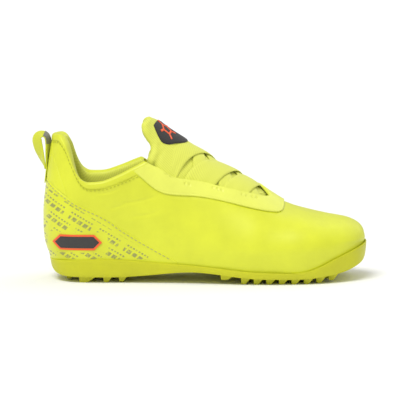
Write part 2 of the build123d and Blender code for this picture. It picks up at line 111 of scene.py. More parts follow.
def smooth(table):
    """Monotone cubic through (x, value) pairs, constant past both ends, for numpy arrays."""
    xs = np.array([x for x, _ in table], float)
    vs = np.array([v for _, v in table], float)
    slopes = np.diff(vs) / np.diff(xs)
    before, after = slopes[:-1], slopes[1:]
    product = before * after
    total = np.where(before + after == 0, 1, before + after)
    inner = np.where(product > 0, 2 * product / total, 0.0)
    tangents = np.concatenate([[slopes[0]], inner, [slopes[-1]]])

    def value(x):
        x = np.clip(np.asarray(x, float), xs[0], xs[-1])
        i = np.clip(np.searchsorted(xs, x, side="right") - 1, 0, len(xs) - 2)
        span = xs[i + 1] - xs[i]
        t = (x - xs[i]) / span
        rise = vs[i + 1] - vs[i]
        a = tangents[i] * span
        b = tangents[i + 1] * span
        return vs[i] + t * (a + t * (3 * rise - 2 * a - b + t * (a + b - 2 * rise)))

    return value


# Across the shoe at a distance from the heel: the middle line and how far each side reaches.
middle = smooth([(0, 0), (60, 0), (100, 2), (130, 4.5), (160, 6.5), (200, 7.5), (240, 7.5)])
lateral = smooth([
    (0, 29), (30, 29.7), (62, 29.7), (95, 33.5), (130, 42), (160, 48), (185, 48), (212, 43),
    (240, 37),
])
medial = smooth([
    (0, 29), (30, 29.5), (62, 27), (95, 26), (130, 30), (165, 35), (190, 35), (215, 32), (240, 27),
])
# Where the heel's rear is at a height.
heel_back = smooth([
    (0, 9), (12, 7.2), (18, 6), (24, 2.6), (30, 0.9), (40, 0), (50, 0), (72, 2), (95, 5),
    (110, 7.8), (130, 11),
])
# Height of the ridge of the front half, and how round its cross-sections are.
ridge = smooth([
    (0, 250), (50, 228), (68, 170), (77, 136), (82, 123), (88.5, 116.3), (106.5, 104), (121, 94.8),
    (129, 89.3), (142.5, 81.6), (151.5, 76.6), (160.5, 70.6), (169.5, 64.2), (184, 55.6),
    (196, 51.6), (212, 47.9), (227, 44.9), (234.3, 41.4), (238.4, 36.8), (UPPER_LENGTH, 27.5),
])
arch_height_power = smooth([
    (0, 2.2), (80, 2.2), (96, 2.0), (125, 1.7), (151, 1.6), (175, 1.8), (200, 2.2), (240, 2.5),
])
arch_width_power = smooth([
    (0, 2.2), (80, 2.2), (96, 1.95), (125, 1.8), (151, 1.7), (180, 1.8), (205, 2.2), (240, 2.4),
])
# The rear half leans in towards the ankle, and the skin tucks in under its widest height.
heel_lean = smooth([(24, 1), (50, 0.985), (75, 0.93), (95, 0.84), (110, 0.77), (130, 0.7)])
heel_lean_reach = smooth([(35, 1), (75, 0)])
tuck_under = smooth([(-4, 0.9), (8, 0.95), (16, 0.983), (WIDEST_HEIGHT, 1), (30, 1)])

RIDGE_X = np.linspace(UPPER_LENGTH, 60, 1400)
RIDGE_Z = ridge(RIDGE_X)


def toe_reach(z):
    """How far forward the skin reaches at a height."""
    low = UPPER_LENGTH - 0.1 * (RIDGE_Z[0] - z)
    return np.where(z <= RIDGE_Z[0], low, np.interp(z, RIDGE_Z, RIDGE_X))


def rounding(distance, length, power):
    """Share of the full width at a distance from a rounded end."""
    share = ramp(distance, 0, length)
    return np.maximum(0.0, 1 - (1 - share) ** power) ** (1 / power)


def half_width(x, z, side):
    width = np.where(side < 0, lateral(x), medial(x))
    width = width * rounding(x - heel_back(z), HEEL_NOSE, 2.2)
    width = width * rounding(UPPER_LENGTH - x, TOE_NOSE, 2.3)
    width = width * (1 - (1 - heel_lean(z)) * heel_lean_reach(x))
    share = ramp(z, WIDEST_HEIGHT, ridge(x) - WIDEST_HEIGHT)
    arched = (1 - share ** arch_height_power(x)) ** (1 / arch_width_power(x))
    return width * np.where(z <= WIDEST_HEIGHT, tuck_under(z), arched)


def skin(turn, z):
    """Points of the outside skin: turn runs -pi..pi round the level (0 heel, +-pi toe)."""
    turn, z = np.broadcast_arrays(np.asarray(turn, float), np.asarray(z, float))
    turn = (turn + math.pi) % (2 * math.pi) - math.pi
    side = np.where(turn < 0, -1.0, 1.0)
    back, front = heel_back(z), toe_reach(z)
    x = back + (front - back) * (1 - np.cos(turn)) / 2
    y = middle(x) + side * half_width(x, z, side)
    toe_swell = TOE_SWELL * ramp(x, 212, 26) * ramp(z, 27.5, 3)
    heel_swell = HEEL_SWELL * ramp(-x, -16, 14) * ramp(z, 14.4, 1.2)
    heel_swell = heel_swell * bell(z, 16.5, 4.5)
    return np.stack([x + toe_swell - heel_swell, y, z], axis=-1)


def skin_normal(turn, z):
    """Outward normals of the skin, from small steps along both directions."""
    step_turn, step_z = 0.004, 0.15
    along = skin(turn + step_turn, z) - skin(turn - step_turn, z)
    up = skin(turn, z + step_z) - skin(turn, z - step_z)
    normal = np.cross(along, up)
    size = np.linalg.norm(normal, axis=-1, keepdims=True)
    return -normal / np.maximum(size, 1e-9)


def lifted(turn, z, lift):
    """Skin points moved out along the normal by a lift in mm (negative is inside)."""
    return skin(turn, z) + skin_normal(turn, z) * np.asarray(lift)[..., None]


def level_sheet(turn, z, lift):
    """Skin points all moved out by one lift in mm."""
    return lifted(turn, z, np.full(z.shape, lift))


def top_of(x, y):
    """Height of the skin over a plan point, for the arched front half of the shoe."""
    side = np.where(y < middle(x), -1.0, 1.0)
    width = np.where(side < 0, lateral(x), medial(x)) * rounding(UPPER_LENGTH - x, TOE_NOSE, 2.3)
    share = np.clip(np.abs(y - middle(x)) / width, 0, 0.999)
    rise = (1 - share ** arch_width_power(x)) ** (1 / arch_height_power(x))
    return WIDEST_HEIGHT + rise * (ridge(x) - WIDEST_HEIGHT)


# ---- lines of the upper
# Heights against the distance from the heel: the lower edge of the upper, the ankle opening,
# and the edges of the lace facing and of the printed panel.
feather = smooth([
    (-6, 14.6), (40, 14.3), (86, 13.6), (112, 12.8), (134, 10.8), (152, 8.9), (177, 7.9),
    (197, 8.1), (212, 10), (226, 13.6), (246, 21),
])
collar = smooth([
    (-6, 106), (4, 108.6), (12, 108.8), (17, 103), (20.5, 94), (24, 85), (28, 77.6), (34, 74.2),
    (43, 74.8), (56, 79.4), (68, 85.4), (79, 91), (90, 97),
])
eyestay_edge = smooth([
    (60, 88), (69, 82.5), (82, 71), (89, 67.2), (98, 65.4), (113, 64.6), (128, 62.2), (147, 57.6),
    (169, 52.6), (175, 51.9), (178, 52.6), (179.6, 54.4), (180.4, 57.5),
])
panel_edge = smooth([
    (-6, 90), (3, 76.5), (12, 68.5), (27, 58.5), (42, 51), (57, 41.5), (72, 32.5), (91, 21.8),
    (104, 14),
])
# How much higher the inner (medial) side of the ankle opening stands.
medial_rise = smooth([
    (-10, 0), (12, 0), (20, 2.2), (26, 3.8), (32, 4.0), (38, 3.7), (48, 2.9), (57, 2.3), (70, 1),
    (79, 0), (100, 0),
])
COLLAR_FRONT = 79.0
EYESTAY_FRONT = 180.5
# How far the throat's edges stand to either side of the middle line.
LATERAL_REACH = smooth([
    (60, 26), (79, 25.6), (87, 25.2), (93, 25.6), (98, 25.9), (125, 25.3), (148, 23.6), (156, 22),
    (162, 19.5), (166.5, 15.8), (169, 10.5),
])
MEDIAL_REACH = smooth([
    (60, 25), (79, 22.5), (88, 20.5), (96, 18.8), (125, 15), (148, 11.5), (156, 8), (162, 2.5),
    (166.5, -4.5), (169, -10.5),
])
THROAT_END = 169.0
# Where along the facing the short pressed slots are.
PRESSED_SLOTS = [92, 95.2, 106, 109.2, 126.5, 129.8, 133, 148, 151.2, 155.5, 158.7]


def is_open(p):
    """Where the ankle opening and the throat cut the skin away."""
    x, y, z = p[..., 0], p[..., 1], p[..., 2]
    out = y - middle(x)
    ankle = (x < COLLAR_FRONT) & (z > collar(x) + medial_rise(x) * ramp(out, 0, 8))
    inside = (out > -LATERAL_REACH(x)) & (out < MEDIAL_REACH(x))
    throat = (x >= COLLAR_FRONT) & (x < THROAT_END) & (z > 45) & inside
    return ankle | throat


def over_eyestay_edge(p):
    x, z = p[..., 0], p[..., 2]
    return (x < EYESTAY_FRONT) & (x > 60) & (z > eyestay_edge(x))


def over_panel_edge(p):
    return p[..., 2] > panel_edge(p[..., 0])


def first_height(test, low=10.0):
    """For each column, the lowest height where a test on its skin points starts to hold."""
    heights = np.linspace(low, 121.0, 1400)
    hit = test(skin(TURNS[:, None], heights[None, :]))
    return np.where(hit.any(axis=1), heights[np.argmax(hit, axis=1)], heights[-1])


def evened(values, passes=2, closed=False):
    """A column-wise line with its sampling steps smoothed out."""
    values = np.array(values, float)
    for _ in range(passes):
        if closed:
            values = (np.roll(values, 1) + 2 * values + np.roll(values, -1)) / 4
        else:
            values[1:-1] = (values[:-2] + 2 * values[1:-1] + values[2:]) / 4
    return values


# ---- mesh building
def added(name, data):
    """A new object in the scene."""
    obj = bpy.data.objects.new(name, data)
    bpy.context.scene.collection.objects.link(obj)
    return obj


def shade_smooth(mesh):
    for polygon in mesh.polygons:
        polygon.use_smooth = True


def mesh_object(name, verts, faces, uvs=None):
    mesh = bpy.data.meshes.new(name)
    mesh.from_pydata([tuple(v) for v in verts], [], faces)
    if uvs is not None:
        layer = mesh.uv_layers.new(name="UVMap")
        loops = np.array([loop.vertex_index for loop in mesh.loops])
        layer.data.foreach_set("uv", np.asarray(uvs, np.float32)[loops].ravel())
    mesh.validate()
    mesh.update()
    shade_smooth(mesh)
    return added(name, mesh)


def grid_object(name, grid, closed_columns=False):
    """A closed mesh over a (columns, rows, 3) array of mm points, with distances as its UVs.

    Each column of points goes round and closes on itself. The columns close into a ring too, or
    else the first and the last are capped.
    """
    columns, rows = grid.shape[:2]
    points = to_frame(grid).reshape(-1, 3)
    along = np.linalg.norm(np.diff(grid, axis=0, prepend=grid[:1]), axis=-1).mean(axis=1).cumsum()
    across = np.linalg.norm(np.diff(grid, axis=1, prepend=grid[:, :1]), axis=-1).mean(axis=0).cumsum()
    uvs = np.stack(np.broadcast_arrays(along[:, None] * MM, across[None, :] * MM), -1).reshape(-1, 2)
    faces = []
    for i in range(columns if closed_columns else columns - 1):
        j = (i + 1) % columns
        for k in range(rows):
            m = (k + 1) % rows
            faces.append((i * rows + k, j * rows + k, j * rows + m, i * rows + m))
    if not closed_columns:
        faces.append(tuple(range(rows))[::-1])
        faces.append(tuple((columns - 1) * rows + k for k in range(rows)))
    obj = mesh_object(name, points, faces, uvs)
    outward(obj)
    return obj


def sheet_object(name, outer, inner, closed_columns=False):
    """A closed mesh between the outer and the inner face of a sheet."""
    return grid_object(name, np.concatenate([outer, inner[:, ::-1]], axis=1), closed_columns)


def outward(obj):
    bm = bmesh.new()
    bm.from_mesh(obj.data)
    bmesh.ops.remove_doubles(bm, verts=bm.verts, dist=1e-6)
    bmesh.ops.recalc_face_normals(bm, faces=bm.faces)
    bm.to_mesh(obj.data)
    bm.free()


def fractions(count, ends=0.0):
    """0..1 in `count` steps, gathered towards both ends by `ends` (0..1)."""
    t = np.linspace(0, 1, count)
    return (1 - ends) * t + ends * (1 - np.cos(math.pi * t)) / 2


def in_column(values, rows):
    """One value per column, repeated down its rows."""
    return np.repeat(values[:, None], rows, axis=1)


def edge_distances(points):
    """Distance in mm of each row from the first and from the last row, per column."""
    steps = np.linalg.norm(np.diff(points, axis=1, prepend=points[:, :1]), axis=-1)
    from_first = steps.cumsum(axis=1)
    return from_first, from_first[:, -1:] - from_first


def path_lengths(points):
    """Distance of each point from the first one, along a run of points."""
    return np.concatenate([[0], np.linalg.norm(np.diff(points, axis=0), axis=1).cumsum()])


def rolled(distance, radius, height, start):
    """Height of a sheet edge rolled over a radius, rising from start to height."""
    share = ramp(distance, 0, radius)
    return start + (height - start) * np.sqrt(np.clip(1 - (1 - share) ** 2, 0, 1))


def wavy(points, size, seed):
    """Smooth repeatable noise at mm points, in -1..1, with features of about `size` mm."""
    flat = points.reshape(-1, 3) / size + seed * 17.3
    values = [noise.noise(Vector(p)) for p in flat]
    return np.array(values).reshape(points.shape[:-1])


def band_object(name, turns, low, high, rows, thickness, start_high=-0.35, radius=0.8,
                relief=None):
    """A raised sheet on the skin between two column-wise heights, with rolled edges."""
    share = fractions(rows, 0.85)
    z = low[:, None] + (high - low)[:, None] * share[None, :]
    turn = in_column(turns, rows)
    flat = skin(turn, z)
    from_low, from_high = edge_distances(flat)
    lift = np.minimum(rolled(from_low, radius, thickness, -0.35),
                      rolled(from_high, radius, thickness, start_high))
    if relief is not None:
        lift = lift + relief(flat, from_low, from_high)
    outer = lifted(turn, z, lift)
    inner = lifted(turn, z, np.minimum(lift, 0) - 0.25)
    return sheet_object(name, outer, inner[:, 1:-1])


def stitches(name, centres, normals, length=2.3, gap=1.1):
    """A row of thread stitches along a line of mm points, as small domed capsules."""
    radius, rise = 0.26, 0.12
    travel = path_lengths(centres)
    verts, faces = [], []
    sides, steps = 7, 6

    def on_line(values, at):
        return np.array([np.interp(at, travel, values[:, c]) for c in range(3)])

    start = gap
    while start + length < travel[-1]:
        ring_start = len(verts)
        for k in range(steps + 1):
            share = k / steps
            at = start + length * share
            here, up = on_line(centres, at), on_line(normals, at)
            up = up / np.linalg.norm(up)
            along = on_line(centres, at + 0.2) - here
            along = along / max(np.linalg.norm(along), 1e-9)
            across = np.cross(along, up)
            swell = radius * math.sqrt(max(0.04, 1 - (2 * share - 1) ** 4))
            base = here + up * (rise + 0.25 * radius * math.sin(math.pi * share))
            for q in range(sides):
                angle = 2 * math.pi * q / sides
                verts.append(base + swell * (math.cos(angle) * across + math.sin(angle) * up))
        for k in range(steps):
            for q in range(sides):
                a = ring_start + k * sides + q
                b = ring_start + k * sides + (q + 1) % sides
                faces.append((a, b, b + sides, a + sides))
        faces.append(tuple(ring_start + q for q in range(sides))[::-1])
        faces.append(tuple(ring_start + steps * sides + q for q in range(sides)))
        start += length + gap
    return mesh_object(name, to_frame(np.array(verts)), faces)


# ---- materials
YELLOW = (0.71, 0.755, 0.032, 1)
# A lighter copy of YELLOW with light painted in: it brightens the lining and the tongue, which lie in
# shade inside the shoe and under the laces; the facing and the laces use it too.
YELLOW_PAINTED_LIGHT = (0.80, 0.84, 0.115, 1)
YELLOW_DEEP = (0.56, 0.60, 0.022, 1)
SOLE_YELLOW = (0.60, 0.605, 0.014, 1)
DARK = (0.045, 0.042, 0.04, 1)
ORANGE = (0.9, 0.12, 0.035, 1)
GREY_PRINT = (0.32, 0.33, 0.09, 1)


class Nodes:
    """A short way to build a material's nodes."""

    def __init__(self, name):
        self.material = bpy.data.materials.new(name)
        self.material.use_nodes = True
        self.tree = self.material.node_tree
        self.shader = self.tree.nodes["Principled BSDF"]

    def add(self, kind, **settings):
        node = self.tree.nodes.new(kind)
        for key, value in settings.items():
            if key in node.inputs:
                node.inputs[key].default_value = value
            else:
                setattr(node, key, value)
        return node

    def link(self, out_socket, in_socket):
        self.tree.links.new(out_socket, in_socket)

    def noise(self, coords, scale, detail=4.0, roughness=0.55):
        node = self.add("ShaderNodeTexNoise", Scale=scale, Detail=detail, Roughness=roughness)
        self.link(coords, node.inputs["Vector"])
        return node.outputs["Fac"]

    def math(self, operation, a, b=0.5):
        node = self.add("ShaderNodeMath", operation=operation)
        for socket, value in zip(node.inputs, (a, b)):
            if isinstance(value, (int, float)):
                socket.default_value = value
            else:
                self.link(value, socket)
        return node.outputs[0]

    def times(self, a, b):
        return self.math("MULTIPLY", a, b)

    def plus(self, a, b):
        return self.math("ADD", a, b)

    def split(self, vector):
        node = self.add("ShaderNodeSeparateXYZ")
        self.link(vector, node.inputs[0])
        return node.outputs

    def span(self, value, low, high, to_low=0.0, to_high=1.0):
        node = self.add("ShaderNodeMapRange")
        self.link(value, node.inputs["Value"])
        node.inputs["From Min"].default_value = low
        node.inputs["From Max"].default_value = high
        node.inputs["To Min"].default_value = to_low
        node.inputs["To Max"].default_value = to_high
        return node.outputs["Result"]

    def mix(self, factor, a, b):
        node = self.add("ShaderNodeMix", data_type="RGBA")
        self.link(factor, node.inputs["Factor"])
        for socket, value in ((node.inputs[6], a), (node.inputs[7], b)):
            if isinstance(value, tuple):
                socket.default_value = value
            else:
                self.link(value, socket)
        return node.outputs[2]

    def bump(self, height, strength, distance, below=None):
        node = self.add("ShaderNodeBump", Strength=strength, Distance=distance)
        self.link(height, node.inputs["Height"])
        if below is not None:
            self.link(below, node.inputs["Normal"])
        return node.outputs["Normal"]

    def finish(self, color, roughness=None, normal=None, **fixed):
        """Links the textures, and sets what is the same all over on the shader itself."""
        for socket, value in (("Base Color", color), ("Roughness", roughness), ("Normal", normal)):
            if value is not None:
                self.link(value, self.shader.inputs[socket])
        for key, value in fixed.items():
            self.shader.inputs[key.replace("_", " ")].default_value = value
        return self.material


def object_coords(n):
    return n.add("ShaderNodeTexCoord").outputs["Object"]


def shade(color, factor):
    return tuple(c * factor for c in color[:3]) + (1,)


def leather(name, color, grain=1500.0, strength=0.22, rough=(0.34, 0.48)):
    """Coated synthetic leather: fine pebble grain, faint mottling and a satin finish."""
    n = Nodes(name)
    at = object_coords(n)
    cells = n.add("ShaderNodeTexVoronoi", Scale=grain)
    n.link(at, cells.inputs["Vector"])
    pebble = n.span(cells.outputs["Distance"], 0.0, 0.7)
    mottle = n.noise(at, 45.0, 5.0, 0.6)
    fine = n.noise(at, 900.0, 3.0, 0.5)
    tone = n.mix(n.span(mottle, 0.3, 0.7), shade(color, 0.93), shade(color, 1.04))
    tone = n.mix(n.span(pebble, 0.0, 0.25, 0.25, 0.0), tone, shade(color, 0.75))
    soft = n.bump(mottle, 0.25, 0.0006)
    grained = n.bump(n.plus(pebble, n.times(fine, 0.6)), strength, 0.00009, soft)
    return n.finish(tone, n.span(fine, 0.3, 0.7, *rough), grained,
                    Specular_IOR_Level=0.45, Coat_Weight=0.12, Coat_Roughness=0.35)


def cloth(name, color, pitch=0.0011, strength=0.5, rough=0.85, use_uv=True, sheen=0.25):
    """Plain weave: two crossed sets of threads, with a little lint and tone variation."""
    n = Nodes(name)
    coords = n.add("ShaderNodeTexCoord")
    sides = n.split(coords.outputs["UV" if use_uv else "Object"])
    turns = 2 * math.pi / pitch
    axes = (sides[0], sides[1 if use_uv else 2])
    warp, weft = [n.math("SINE", n.times(axis, turns)) for axis in axes]
    half_warp, half_weft = [n.math("SINE", n.times(axis, turns / 2)) for axis in axes]
    crossing = n.times(half_warp, half_weft)
    over = n.math("MAXIMUM", n.times(warp, crossing), n.times(weft, crossing))
    thread = n.span(over, -0.6, 0.8)
    lint = n.noise(coords.outputs["Object"], 700.0, 4.0, 0.7)
    patches = n.noise(coords.outputs["Object"], 60.0, 3.0)
    tone = n.mix(thread, shade(color, 0.72), shade(color, 1.05))
    tone = n.mix(n.span(patches, 0.35, 0.7, 0.0, 0.35), tone, shade(color, 0.88))
    height = n.plus(thread, n.times(lint, 0.35))
    normal = n.bump(height, strength, 0.00018)
    return n.finish(tone, n.span(lint, 0.2, 0.8, rough - 0.08, rough + 0.08), normal,
                    Sheen_Weight=sheen, Sheen_Roughness=0.5, Specular_IOR_Level=0.25)


def rubber(name, color):
    """Moulded rubber: even matt skin with faint flow marks and fine pores, and painted shade near the
    ground.
    """
    n = Nodes(name)
    at = object_coords(n)
    flow = n.noise(at, 60.0, 6.0, 0.6)
    pores = n.noise(at, 1600.0, 2.0, 0.5)
    # Painted shade: the lowest 6 mm of the sole, round the stud tips, is darkened in patches where the
    # studs meet the floor.
    low = n.span(n.split(at)[2], 0.0, 0.006, 1.0, 0.0)
    tone = n.mix(n.span(flow, 0.3, 0.75), shade(color, 0.94), shade(color, 1.05))
    tone = n.mix(n.times(low, n.span(flow, 0.35, 0.65, 0.25, 0.6)), tone, shade(color, 0.66))
    normal = n.bump(pores, 0.18, 0.00008, n.bump(flow, 0.15, 0.0004))
    return n.finish(tone, n.span(flow, 0.3, 0.7, 0.42, 0.56), normal, Specular_IOR_Level=0.4)


def printed_film(name, color, print_color):
    """Thin film panel with a faint slanted dash print over the side of the heel.

    Rows of blocks and thin dashes run down along the panel's edge, in groups, with a blank space
    round the badge.
    """
    row_pitch, group_pitch, group_share = 0.0088, 0.0235, 0.8
    slant_x, slant_z = 0.86, 0.51
    n = Nodes(name)
    at = object_coords(n)
    x, _, z = n.split(at)
    along = n.math("SUBTRACT", n.times(x, slant_x), n.times(z, slant_z))
    down = n.plus(n.times(x, slant_z), n.times(z, slant_x))
    row = n.times(down, 1 / row_pitch)
    height = n.math("FRACT", row)
    start = n.times(n.math("FLOOR", row), 0.37)
    group = n.math("FRACT", n.plus(n.times(along, 1 / group_pitch), start))
    grouped = n.math("LESS_THAN", group, group_share)

    def dashes(pitch, share, low, high):
        """Marks that fill a share of each pitch, between two heights of the row."""
        leaning = n.times(height, -0.5)
        place = n.plus(n.times(along, 1 / pitch), leaning)
        marks = n.math("LESS_THAN", n.math("FRACT", n.plus(place, start)), share)
        band = n.times(n.math("GREATER_THAN", height, low), n.math("LESS_THAN", height, high))
        return n.times(marks, band)

    blocks = dashes(0.0047, 0.7, 0.08, 0.42)
    fine_dashes = dashes(0.0024, 0.62, 0.62, 0.76)
    dash = n.times(n.math("MAXIMUM", blocks, fine_dashes), grouped)
    heel_x = float(ORIGIN[0])
    badge_x, badge_z = heel_x + 0.026, 0.0305
    beside = n.times(n.math("ABSOLUTE", n.math("SUBTRACT", x, badge_x)), 0.33)
    over = n.math("ABSOLUTE", n.math("SUBTRACT", z, badge_z))
    clear = n.span(n.math("MAXIMUM", beside, over), 0.0074, 0.0078)
    edge_gap = n.span(n.plus(z, n.times(x, 0.62)),
                      0.0715 + 0.62 * heel_x, 0.0725 + 0.62 * heel_x, 1.0, 0.0)
    inside = n.times(clear, edge_gap)
    inside = n.times(inside, n.span(z, 0.0175, 0.0185))
    worn = n.span(n.noise(at, 500.0, 3.0), 0.38, 0.5, 0.45, 1.0)
    mottle = n.noise(at, 45.0, 5.0, 0.6)
    fine = n.noise(at, 1200.0, 2.0)
    tone = n.mix(n.span(mottle, 0.3, 0.7), shade(color, 0.94), shade(color, 1.04))
    printed = n.times(n.times(dash, inside), worn)
    tone = n.mix(printed, tone, print_color)
    normal = n.bump(fine, 0.12, 0.00006, n.bump(mottle, 0.2, 0.0005))
    return n.finish(tone, n.span(fine, 0.3, 0.7, 0.3, 0.42), normal, Specular_IOR_Level=0.5)


def moulded(name, color, rough=0.4, wear=0.2):
    """Smooth moulded or printed badge, with fine scuffs."""
    n = Nodes(name)
    at = object_coords(n)
    scuff = n.noise(at, 420.0, 6.0, 0.7)
    fine = n.noise(at, 2000.0, 2.0)
    tone = n.mix(n.span(scuff, 0.45, 0.75, 0.0, wear), color, shade(color, 1.6))
    normal = n.bump(fine, 0.15, 0.00005)
    return n.finish(tone, n.span(scuff, 0.3, 0.7, rough - 0.08, rough + 0.1), normal,
                    Specular_IOR_Level=0.4)


def floor_material():
    n = Nodes("pale_floor")
    grain = n.noise(object_coords(n), 12.0, 3.0)
    tone = n.mix(grain, (0.93, 0.93, 0.93, 1), (0.95, 0.95, 0.95, 1))
    return n.finish(tone, Roughness=0.9, Specular_IOR_Level=0.1)


MATERIALS = {
    "upper": leather("upper_leather", YELLOW),
    "facing": leather("facing_leather", YELLOW_PAINTED_LIGHT, grain=1900.0, strength=0.16, rough=(0.4, 0.52)),
    "binding": leather("binding_leather", YELLOW, grain=2100.0, strength=0.18,
                       rough=(0.42, 0.55)),
    "film": printed_film("panel_film", YELLOW, GREY_PRINT),
    "sole": rubber("sole_rubber", SOLE_YELLOW),
    # The lining takes the lighter yellow: light painted into the inside of the collar, which lies in
    # shade.
    "lining": cloth("lining_cloth", YELLOW_PAINTED_LIGHT, pitch=0.0012, strength=0.4),
    "sock": cloth("sock_cloth", YELLOW_DEEP, pitch=0.0016, use_uv=False),
    # The tongue takes the lighter yellow: light painted into the gaps between the lace runs, which lie in
    # shade.
    "tongue": cloth("tongue_cloth", YELLOW_PAINTED_LIGHT, pitch=0.0009, strength=0.25, rough=0.62,
                    use_uv=False, sheen=0.15),
    "lace": cloth("lace_cloth", YELLOW_PAINTED_LIGHT, pitch=0.0010, strength=0.55, rough=0.7),
    "webbing": cloth("webbing_cloth", shade(YELLOW, 0.98), pitch=0.0013, strength=0.7, rough=0.7),
    "thread": cloth("thread_cloth", (0.46, 0.45, 0.20, 1), pitch=0.0004, strength=0.5, rough=0.6,
                    use_uv=False),
    "thread_tone": cloth("tonal_thread_cloth", shade(YELLOW, 0.8), pitch=0.0004, strength=0.5,
                         rough=0.6, use_uv=False),
    "loop_patch": cloth("loop_patch_cloth", (0.21, 0.21, 0.17, 1), pitch=0.0013, strength=0.7, rough=0.7),
    "foam": moulded("foam_skin", (0.75, 0.76, 0.5, 1), rough=0.8),
    "board": moulded("board_fibre", (0.55, 0.5, 0.4, 1), rough=0.85),
    "dark": moulded("badge_dark", DARK, rough=0.42, wear=0.3),
    "dark_cloth": cloth("patch_cloth", DARK, pitch=0.0008, strength=0.35, rough=0.6, sheen=0.1),
    "orange": moulded("accent_orange", ORANGE, rough=0.38, wear=0.1),
}


def paint(obj, material):
    obj.data.materials.clear()
    obj.data.materials.append(MATERIALS[material])


def dress(obj, material, replaces=(), body="shoe"):
    """Gives a piece its material and slot, the CAD nodes that it stands for, and its body."""
    paint(obj, material)
    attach(obj, body)
    if replaces:
        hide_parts(*replaces)


# ---- upper
COLUMNS = 420
SHELL_THICK = 1.15
PANEL_THICK = 0.42
FACING_THICK = 1.0
STRAP_THICK = 0.45
TURNS = np.linspace(-math.pi, math.pi, COLUMNS, endpoint=False)
TOP = evened(first_height(is_open), 2, closed=True)
BOTTOM_X = skin(TURNS, np.full(COLUMNS, 12.0))[:, 0]
LOW = feather(BOTTOM_X) + 0.4
TOP_X = skin(TURNS, TOP)[:, 0]
EYESTAY_LOW = evened(first_height(over_eyestay_edge, low=40), 2, closed=True)
PANEL_HIGH = evened(first_height(over_panel_edge), 2, closed=True)

# Pressed streaks on the quarter in side view: (x0, z0, x1, z1, sag).
STREAKS = [
    (40, 67, 58, 70.5, 1.2), (58, 60, 88, 66.5, 2.0), (66, 50, 90, 55.5, 1.6),
    (50, 55.5, 64, 60.5, 0.8),
]


def streak_depth(points):
    """Shallow curved press lines across the quarter."""
    depth = np.zeros(points.shape[:-1])
    for x0, z0, x1, z1, sag in STREAKS:
        share = ramp(points[..., 0], x0, x1 - x0)
        line = z0 + (z1 - z0) * share - sag * np.sin(math.pi * share)
        fade = np.sin(math.pi * share) ** 0.6
        depth += 0.38 * fade * bell(points[..., 2], line, 0.9)
    return depth


def flex_creases(points):
    """Soft wrinkles where the forefoot bends and where the ankle opening pulls."""
    x, z = points[..., 0], points[..., 2]
    ball = bell(x, 168, 20) * ramp(z, 16, 14)
    ball = ball * np.sin((x - 0.45 * z) / 5.2 + 1.4 * wavy(points, 30, 3)) * 0.16
    waist = bell(x, 78, 26) * ramp(z, 25, 20)
    waist = waist * np.sin((0.55 * x + z) / 6.5 + 1.6 * wavy(points, 26, 5)) * 0.14
    return ball + waist


def make_upper():
    rows = 110
    z = LOW[:, None] + (TOP - LOW)[:, None] * fractions(rows, 0.25)[None, :]
    turn = in_column(TURNS, rows)
    flat = skin(turn, z)
    lift = 0.30 * wavy(flat, 34, 1) + 0.12 * wavy(flat, 12, 2)
    lift = lift + flex_creases(flat) - streak_depth(flat)
    groove = bell(z, EYESTAY_LOW[:, None] - 0.3, 0.7)
    lift = lift - 0.35 * groove * (EYESTAY_LOW < TOP - 1)[:, None]
    from_low, from_top = edge_distances(flat)
    lift = lift * ramp(from_top, 0, 4) * ramp(from_low, 0, 5)
    outer = lifted(turn, z, lift)
    inner = level_sheet(turn[:, ::6], z[:, ::6], -SHELL_THICK)
    upper = sheet_object("upper", outer, inner, closed_columns=True)
    dress(upper, "upper", ["upper_shell"])


def make_heel_panel():
    shown = (PANEL_HIGH > LOW + 1.0) & (BOTTOM_X < 101)
    panel = band_object("heel_panel_skin", TURNS[shown], LOW[shown] - 0.3, PANEL_HIGH[shown], 46,
                        PANEL_THICK, radius=0.9)
    dress(panel, "film", ["heel_panel"])


def line_on_skin(turns, z, lift):
    """Points a lift in mm over the skin at a run of turns and heights, and their normals."""
    return level_sheet(turns, z, lift), skin_normal(turns, z)


def make_panel_stitches():
    """Pale grey thread along the panel's edge."""
    shown = (PANEL_HIGH > LOW + 4.0) & (BOTTOM_X < 97)
    centres, normals = line_on_skin(TURNS[shown], PANEL_HIGH[shown] - 1.9, PANEL_THICK)
    dress(stitches("panel_stitching", centres, normals), "thread")


def eyestay_relief(flat, from_low, from_high):
    """A pressed line near each edge and short pressed slots along the facing."""
    relief = -0.22 * bell(from_low, 2.2, 0.35) - 0.16 * bell(from_high, 1.6, 0.35)
    for slot in PRESSED_SLOTS:
        spot = ((flat[..., 0] - slot) / 0.62) ** 2 + ((from_high - 6.2) / 2.1) ** 4
        relief = relief - 0.7 * np.exp(-spot)
    return relief + 0.1 * wavy(flat, 14, 7)


def from_heel(values):
    """Column values in an order that starts and ends at the heel, with the toe in the middle."""
    return np.concatenate([values[TURNS > 0], values[TURNS <= 0]])


def make_eyestay():
    shown = from_heel(EYESTAY_LOW < TOP - 0.6)
    low, high = from_heel(EYESTAY_LOW)[shown], from_heel(TOP)[shown]
    turns = from_heel(np.where(TURNS > 0, TURNS, TURNS + 2 * math.pi))[shown]
    fine = np.linspace(0, len(turns) - 1, 3 * len(turns))
    low = np.interp(fine, np.arange(len(turns)), low)
    high = np.interp(fine, np.arange(len(turns)), high)
    turns = np.interp(fine, np.arange(len(turns)), turns)
    facing = band_object("eyestay_facing", turns, low, high, 44, FACING_THICK, start_high=-1.4,
                         radius=0.9, relief=eyestay_relief)
    dress(facing, "facing", ["eyestay"])


